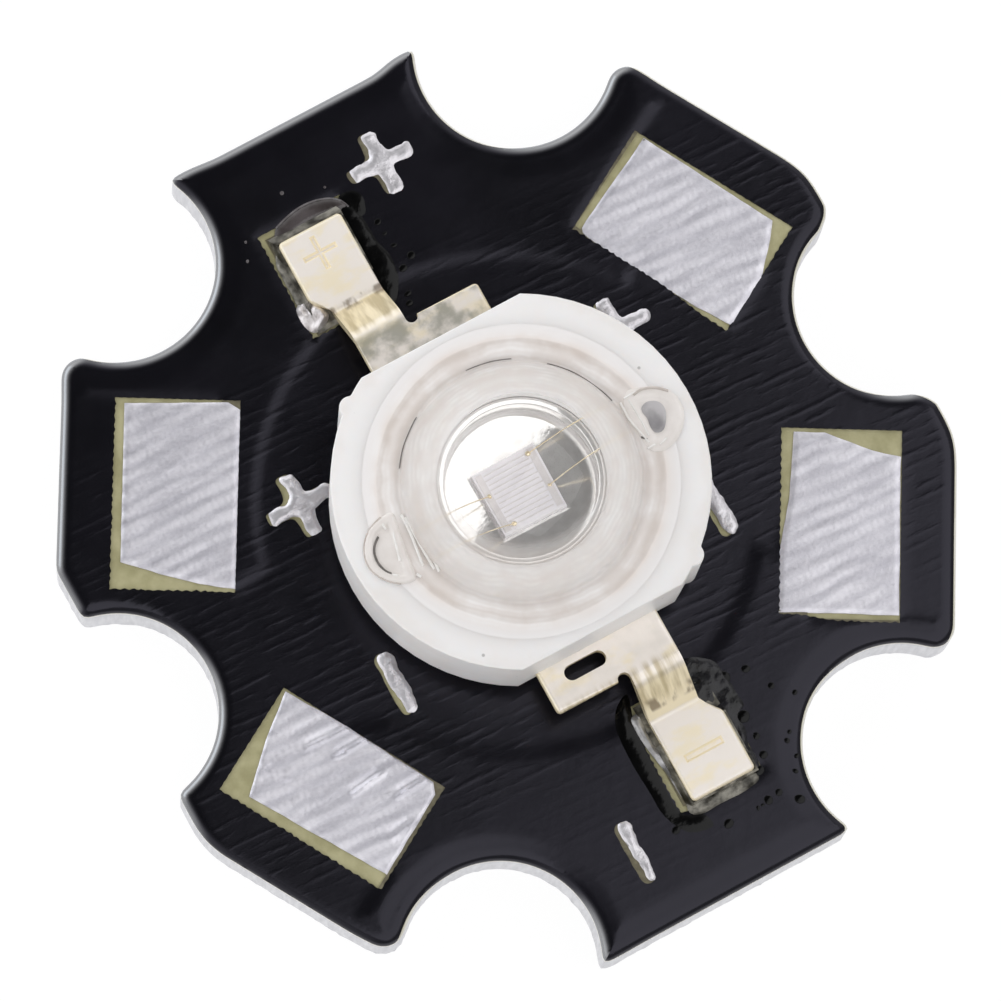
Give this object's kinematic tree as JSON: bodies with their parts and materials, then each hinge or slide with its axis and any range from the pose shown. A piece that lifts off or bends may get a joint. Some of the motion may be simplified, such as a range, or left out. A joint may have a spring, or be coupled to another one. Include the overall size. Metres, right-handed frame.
{
  "type": "star pcb power led",
  "caption": "Star-shaped aluminium circuit board with a round white power LED in the middle: clear dome lens, bent leads, tinned wire pads and edge notches for screws.",
  "frame": {"origin": "centre of the star on the board's underside", "axes": "+Z out of the board towards the lens, +X towards the minus wire pad's arm"},
  "size_m": [0.0192, 0.0196, 0.0069],
  "materials": {
    "aluminium": "rolled and punched, satin",
    "insulation": "pale cured resin",
    "copper": "rolled copper foil",
    "lacquer": "black solder lacquer, glossy",
    "tin": "tinned copper with fine lines",
    "solder": "reflowed solder",
    "grease": "white thermal paste",
    "silvered": "silver plated copper",
    "white_plastic": "milky white moulding",
    "plated_lead": "bright plated sheet with yellow edges",
    "chip": "polished semiconductor",
    "gold": "gold",
    "silicone": "clear silicone",
    "clear_lens": "clear moulded lens"
  },
  "bodies": {
    "root": {"base_plate": "aluminium", "insulation_layer": "insulation", "anode_copper": "copper", "cathode_copper": "copper", "thermal_pad": "copper", "solder_mask": "lacquer", "left_wire_pad": "tin", "upper_wire_pad": "tin", "right_wire_pad": "tin", "lower_wire_pad": "tin", "plus_mark_arm": "tin", "plus_mark_left": "tin", "plus_mark_right": "tin", "minus_mark_arm": "tin", "minus_mark_right": "tin", "minus_mark_lower": "tin", "anode_solder": "solder", "cathode_solder": "solder", "thermal_grease": "grease", "heat_slug": "silvered", "housing": "white_plastic", "anode_lead": "plated_lead", "cathode_lead": "plated_lead", "die_attach": "solder", "led_chip": "chip", "chip_metal_plus": "gold", "chip_metal_minus": "gold", "bond_wire_1": "gold", "bond_wire_2": "gold", "bond_wire_3": "gold", "bond_wire_4": "gold", "encapsulant": "silicone", "lens": "clear_lens", "vent_plug_right": "silicone", "vent_plug_left": "silicone"}
  },
  "joints": []
}
